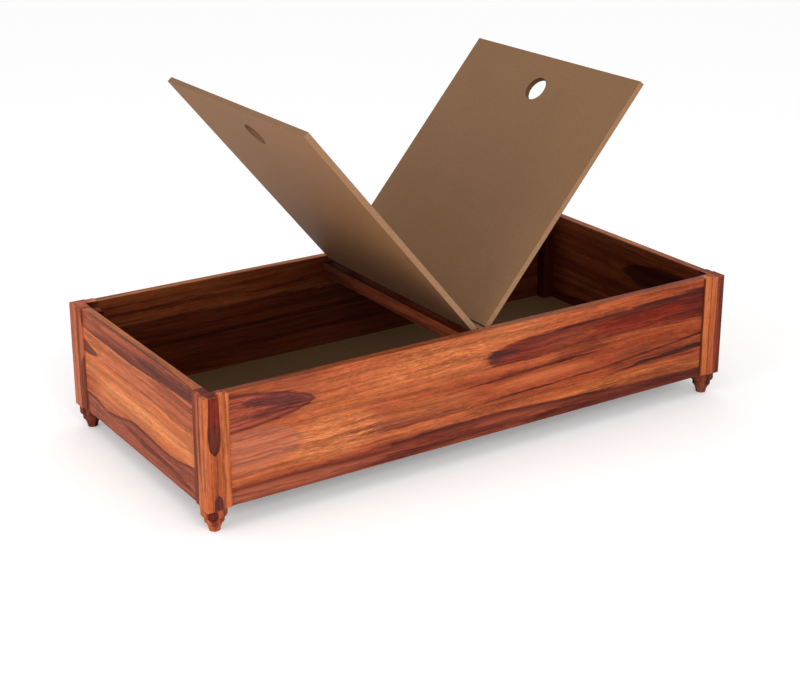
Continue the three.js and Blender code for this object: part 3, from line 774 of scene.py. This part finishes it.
def plated(name, bright, dull):
    """Zinc-plated steel, brushed and dulled in patches."""
    material, wiring, shader = new_material(name, metallic=1.0)
    steel = wiring.use(rolled_steel, {"Place": wiring.place(), "Bright": srgb(*bright),
                                      "Dull": srgb(*dull)})
    wiring.feed(shader["Base Color"], steel["Colour"])
    wiring.feed(shader["Roughness"], steel["Roughness"])
    wiring.raise_surface(shader, steel["Height"], strength=0.15, distance=0.0001)
    return material


screw_steel = plated("zinc-plated screws", (168, 162, 148), (118, 112, 100))
screw_crease = radians(40)
head_rise, head_rim, head_sides = 0.00025, 0.0001, 24
cross_reach, cross_half, cross_depth = 0.54, 0.14, 0.17


def edges_round(shape, loops):
    """The edges along closed loops of corners. Those that are missing are made."""
    return [shape.edges.get((loop[i - 1], loop[i])) or shape.edges.new((loop[i - 1], loop[i]))
            for loop in loops for i in range(len(loop))]


def cross_head(shape, seat, radius):
    """One countersunk screw head, facing along +Z before it is put on its seat: a low dome with
    a cross driven into it. Its underside lies in the metal or wood that it holds."""
    def corners(outline, height):
        return [shape.verts.new(seat @ Vector((x, y, height))) for x, y in outline]

    def ring(reach, height):
        angles = [2 * pi * i / head_sides for i in range(head_sides)]
        return corners([(reach * cos(a), reach * sin(a)) for a in angles], height)

    def cross(height):
        arm, half = cross_reach * radius, cross_half * radius
        outline = []
        for c, s in ((1, 0), (0, 1), (-1, 0), (0, -1)):
            outline += [(arm * c + half * s, arm * s - half * c),
                        (arm * c - half * s, arm * s + half * c),
                        (half * (c - s), half * (s + c))]
        return corners(outline, height)

    rings = [ring(radius, -head_rim), ring(radius, 0.0), ring(radius * 0.86, head_rise * 0.75),
             ring(radius * 0.62, head_rise)]
    upper, lower = cross(head_rise), cross(head_rise - cross_depth * radius)
    for outer, inner in zip(rings, rings[1:]):
        for i in range(head_sides):
            shape.faces.new((outer[i - 1], outer[i], inner[i], inner[i - 1]))
    for i in range(len(upper)):
        shape.faces.new((upper[i - 1], upper[i], lower[i], lower[i - 1]))
    shape.faces.new(lower)
    shape.faces.new(rings[0])
    bmesh.ops.triangle_fill(shape, use_beauty=True, edges=edges_round(shape, (rings[-1], upper)))


def screws(name, body, seats, radius):
    """A group of screw heads that ride on one body."""
    shape = bmesh.new()
    for seat in seats:
        cross_head(shape, seat, radius)
    bmesh.ops.recalc_face_normals(shape, faces=shape.faces)
    piece = new_piece(name, shape, screw_steel, screw_crease)
    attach(piece, body)


wood_screw_radius = 0.0035
batten_screw_steps = {"front_batten": (1.62, 8), "back_batten": (1.62, 8),
                      "left_batten": (0.62, 4), "right_batten": (0.62, 4)}
batten_seats = []
for node, (span, count) in batten_screw_steps.items():
    low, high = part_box(node)
    middle = (low + high) / 2
    lengthwise = node in ("front_batten", "back_batten")
    facing = Vector((0, -middle.y, 0) if lengthwise else (-middle.x, 0, 0)).normalized()
    reach = facing * ((high.y - low.y if lengthwise else high.x - low.x) / 2)
    run = Vector((1, 0, 0) if lengthwise else (0, 1, 0))
    for i in range(count):
        turn = Matrix.Rotation(0.9 * i, 4, "Z")
        place = middle + reach + run * span * (i / (count - 1) - 0.5)
        batten_seats.append(
            Matrix.Translation(place) @ facing.to_track_quat("Z", "Y").to_matrix().to_4x4() @ turn)
screws("batten_screws", "bed_frame", batten_seats, wood_screw_radius)

pressed_board, wiring, given, result = new_group(
    "Pressed board",
    [("Place", "Vector"), ("Face", "Color"), ("Fleck", "Color"), ("Mottle", "Float", 0.20)],
    [("Colour", "Color"), ("Roughness", "Float"), ("Height", "Float")])
place = given["Place"]
cloudy = wiring.noise(place, (5.0, 5.0, 5.0), detail=3.0)[0]
warp = wiring.noise(place, (110.0, 420.0, 420.0), detail=1.0)[0]
weft = wiring.noise(place, (420.0, 110.0, 420.0), detail=1.0)[0]
fine = wiring.noise(place, (1300.0, 1300.0, 1300.0), detail=2.0)[0]
cloth = wiring.maths("ADD", wiring.times(warp, 0.5), wiring.times(weft, 0.5))
tone = wiring.maths("MULTIPLY_ADD", cloth, 0.6, wiring.times(fine, 0.4))
level = wiring.times(wiring.minus(tone, 0.5), given["Mottle"])
level = wiring.maths("ADD", wiring.times(level, 5.0), 1.0)
level = wiring.times(level, wiring.maths("MULTIPLY_ADD", cloudy, 0.14, 0.93))
colour = wiring.blend(wiring.smooth(fine, 0.66, 0.76), given["Face"], given["Fleck"])
wiring.feed(result["Colour"], wiring.levelled(colour, level))
wiring.feed(result["Roughness"], wiring.maths("MULTIPLY_ADD", tone, 0.25, 0.45))
wiring.feed(result["Height"], tone)


def pressed(name, face, fleck, edge, tilt=0.0, axis=(0.0, 0.0, 0.0), hole=None):
    """Plain brown board with a fine cloth-like mottle and sawn long edges, paler by painted light.
    Tilt turns the board's own directions about the hinge axis. Near the hinge a lid's underside
    has painted shade, further from it painted light, and the wall of its round hole painted shade."""
    material, wiring, shader = new_material(name, specular_ior_level=0.10)
    here = wiring.place()
    flat = wiring.add("VectorRotate", {"Vector": here, "Center": axis, "Angle": tilt},
                      rotation_type="Y_AXIS").outputs[0]
    board = wiring.use(pressed_board, {"Place": flat, "Face": srgb(*face), "Fleck": srgb(*fleck)})
    normal = wiring.add("TexCoord").outputs["Normal"]
    turned_normal = wiring.add("VectorRotate", {"Vector": normal, "Angle": tilt},
                               rotation_type="Y_AXIS").outputs[0]
    out = wiring.split(turned_normal)
    # The long edges are rougher, and paler by painted light
    sawn = wiring.smooth(wiring.maths("ABSOLUTE", out["Y"]), 0.45, 0.80)
    crumbs = wiring.noise(here, (700.0, 700.0, 700.0), detail=3.0)[0]
    dull_edge = srgb(*(0.78 * c for c in edge))
    edge_light_colour = wiring.blend(wiring.smooth(crumbs, 0.62, 0.35), srgb(*edge), dull_edge)
    colour = wiring.blend(sawn, board["Colour"], edge_light_colour)
    if hole:
        place, radius, wall_shade = hole
        # Painted shade on the lid's underside near the hinge, and painted light on it further away
        from_hinge = wiring.maths("ABSOLUTE", wiring.split(flat)[0])
        near_hinge = wiring.smooth(from_hinge, 0.50, 0.05)
        tint = wiring.blend(near_hinge, (1.34, 1.24, 1.14, 1.0), (0.72, 0.64, 0.68, 1.0))
        beneath = wiring.smooth(out["Z"], -0.3, -0.7)
        colour = wiring.blend(beneath, colour, wiring.tinted(colour, tint))
        away = wiring.split(wiring.vector("SUBTRACT", flat, place))
        reach = wiring.maths("ADD", wiring.times(away["X"], away["X"]),
                             wiring.times(away["Y"], away["Y"]))
        # Painted shade on the wall of the round hole
        wall = wiring.smooth(wiring.maths("SQRT", reach), radius + 0.0014, radius + 0.0004)
        colour = wiring.blend(wall, colour, wiring.tinted(board["Colour"], (*wall_shade, 1.0)))
    wiring.feed(shader["Base Color"], colour)
    rough_edge = wiring.times(sawn, 0.8)
    wiring.feed(shader["Roughness"], wiring.maths("MAXIMUM", board["Roughness"], rough_edge))
    wiring.raise_surface(shader, board["Height"], strength=0.25, distance=0.0003)
    return material


sheet_arris = 0.0004
floor_finish = pressed("floor board", (93, 70, 48), (76, 56, 40), (104, 80, 58))
for node in ("left_floor_board", "right_floor_board"):
    softened(node, f"{node}_sheet", sheet_arris, floor_finish)


# Hinge rail: a strip of the lids' pressed board with sawn edges, screwed down along the beam
# between the two lids, which hang on it.
rail_finish = pressed("rail board", (126, 92, 66), (104, 76, 54), (150, 112, 84))
softened("hinge_rail", "hinge_rail_strip", bar_arris, rail_finish)
rail_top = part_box("hinge_rail")[1].z
rail_seats = [Matrix.Translation((0.0, y, rail_top)) @ Matrix.Rotation(20 * y, 4, "Z")
              for y in (-0.40, -0.20, -0.10, 0.10, 0.20, 0.40)]
screws("rail_screws", "bed_frame", rail_seats, wood_screw_radius)


# Lids: two plain pressed boards. Each is hinged to the rail, lies on the posts' shoulders when
# it is shut, and has a round finger hole near its free end.
hinge_axis_x, hinge_axis_z, open_angle = 0.0105, 0.4325, 50.0
lid_start, lid_end, lid_half = 0.0020, 0.92635, 0.438
lid_top, lid_thickness, lid_ease = -0.0035, 0.019, 0.0010
finger_radius, finger_centre, hole_sides = 0.042, 0.803, 96


def lid_plate(name, material, seat):
    """A board with a round hole, made flat along X from the hinge axis and then put on its seat."""
    shape = bmesh.new()
    corners = ((lid_start, -lid_half), (lid_end, -lid_half), (lid_end, lid_half), (lid_start, lid_half))
    outline = [shape.verts.new((x, y, lid_top)) for x, y in corners]
    angles = [2 * pi * i / hole_sides for i in range(hole_sides)]
    rim = [shape.verts.new((finger_centre + finger_radius * cos(a), finger_radius * sin(a), lid_top))
           for a in angles]
    edges = edges_round(shape, (outline, rim))
    face = bmesh.ops.triangle_fill(shape, use_beauty=True, edges=edges)
    top = [g for g in face["geom"] if isinstance(g, bmesh.types.BMFace)]
    lower = bmesh.ops.extrude_face_region(shape, geom=top)["geom"]
    bmesh.ops.translate(shape, vec=(0, 0, -lid_thickness),
                        verts=[g for g in lower if isinstance(g, bmesh.types.BMVert)])
    bmesh.ops.recalc_face_normals(shape, faces=shape.faces)
    sharp = [e for e in shape.edges if e.is_manifold and e.calc_face_angle(0) > sharp_corner]
    bmesh.ops.bevel(shape, geom=sharp, offset=lid_ease, segments=3, affect="EDGES", profile=0.5)
    shape.transform(seat)
    piece = new_piece(name, shape, material)
    piece.modifiers.new("even shading", "WEIGHTED_NORMAL").keep_sharp = True
    return piece


for side, way in (("left", -1), ("right", 1)):
    axis = (way * hinge_axis_x, 0.0, hinge_axis_z)
    lift = Matrix.Rotation(radians(-way * open_angle), 4, "Y")
    seat = Matrix.Translation(axis) @ lift @ Matrix.Rotation(0 if way > 0 else pi, 4, "Z")
    # Painted shade on the wall of each finger hole, deeper on the right lid
    wall_shade = (0.78, 0.70, 0.64) if side == "left" else (0.56, 0.46, 0.42)
    hole = ((axis[0] + way * finger_centre, 0.0, axis[2]), finger_radius, wall_shade)
    finish = pressed(f"{side} lid board", (133, 99, 70), (110, 80, 57), (170, 128, 94),
                     radians(way * open_angle), axis, hole)
    lid = lid_plate(f"{side}_lid_board", finish, seat)
    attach(lid, f"{side}_lid")
    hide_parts(f"{side}_lid")


# Hinges: six zinc-plated steel butt hinges, set in the joints beside the rail. Each has two
# leaves, five knuckles round a headed pin, and three small countersunk screws in each leaf.
leaf_steel = plated("zinc-plated leaves", (150, 146, 138), (104, 99, 90))
pin_steel = plated("steel pins", (170, 168, 162), (126, 122, 114))
leaf_face, screw_row, screw_pitch = 0.0007, -0.0124, 0.021
leaf_screw_radius = 0.0024

rail_leaf_seats = []
for side, way in (("left", -1), ("right", 1)):
    axis = Matrix.Translation((way * hinge_axis_x, 0.0, hinge_axis_z))
    lift = Matrix.Rotation(radians(-way * open_angle), 4, "Y")
    lid_leaf_seats = []
    for where in ("front", "middle", "back"):
        for part, finish in (("rail_leaf", leaf_steel), ("pin", pin_steel), ("lid_leaf", leaf_steel)):
            frame["nodes"][f"{side}_hinge_{where}_{part}"].material_slots[0].material = finish
        low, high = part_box(f"{side}_hinge_{where}_pin")
        for step in (-1, 0, 1):
            along = Matrix.Translation((0, (low.y + high.y) / 2 + step * screw_pitch, screw_row))
            turn = Matrix.Rotation(0.35 + 0.6 * step, 4, "Z")
            outward = Matrix.Translation((way * leaf_face, 0, 0))
            inward = Matrix.Translation((-way * leaf_face, 0, 0))
            rail_face = inward @ Matrix.Rotation(way * pi / 2, 4, "Y")
            lid_face = outward @ Matrix.Rotation(-way * pi / 2, 4, "Y")
            rail_leaf_seats.append(axis @ along @ rail_face @ turn)
            lid_leaf_seats.append(axis @ lift @ along @ lid_face @ turn)
    screws(f"{side}_lid_leaf_screws", f"{side}_lid", lid_leaf_seats, leaf_screw_radius)
screws("rail_leaf_screws", "bed_frame", rail_leaf_seats, leaf_screw_radius)
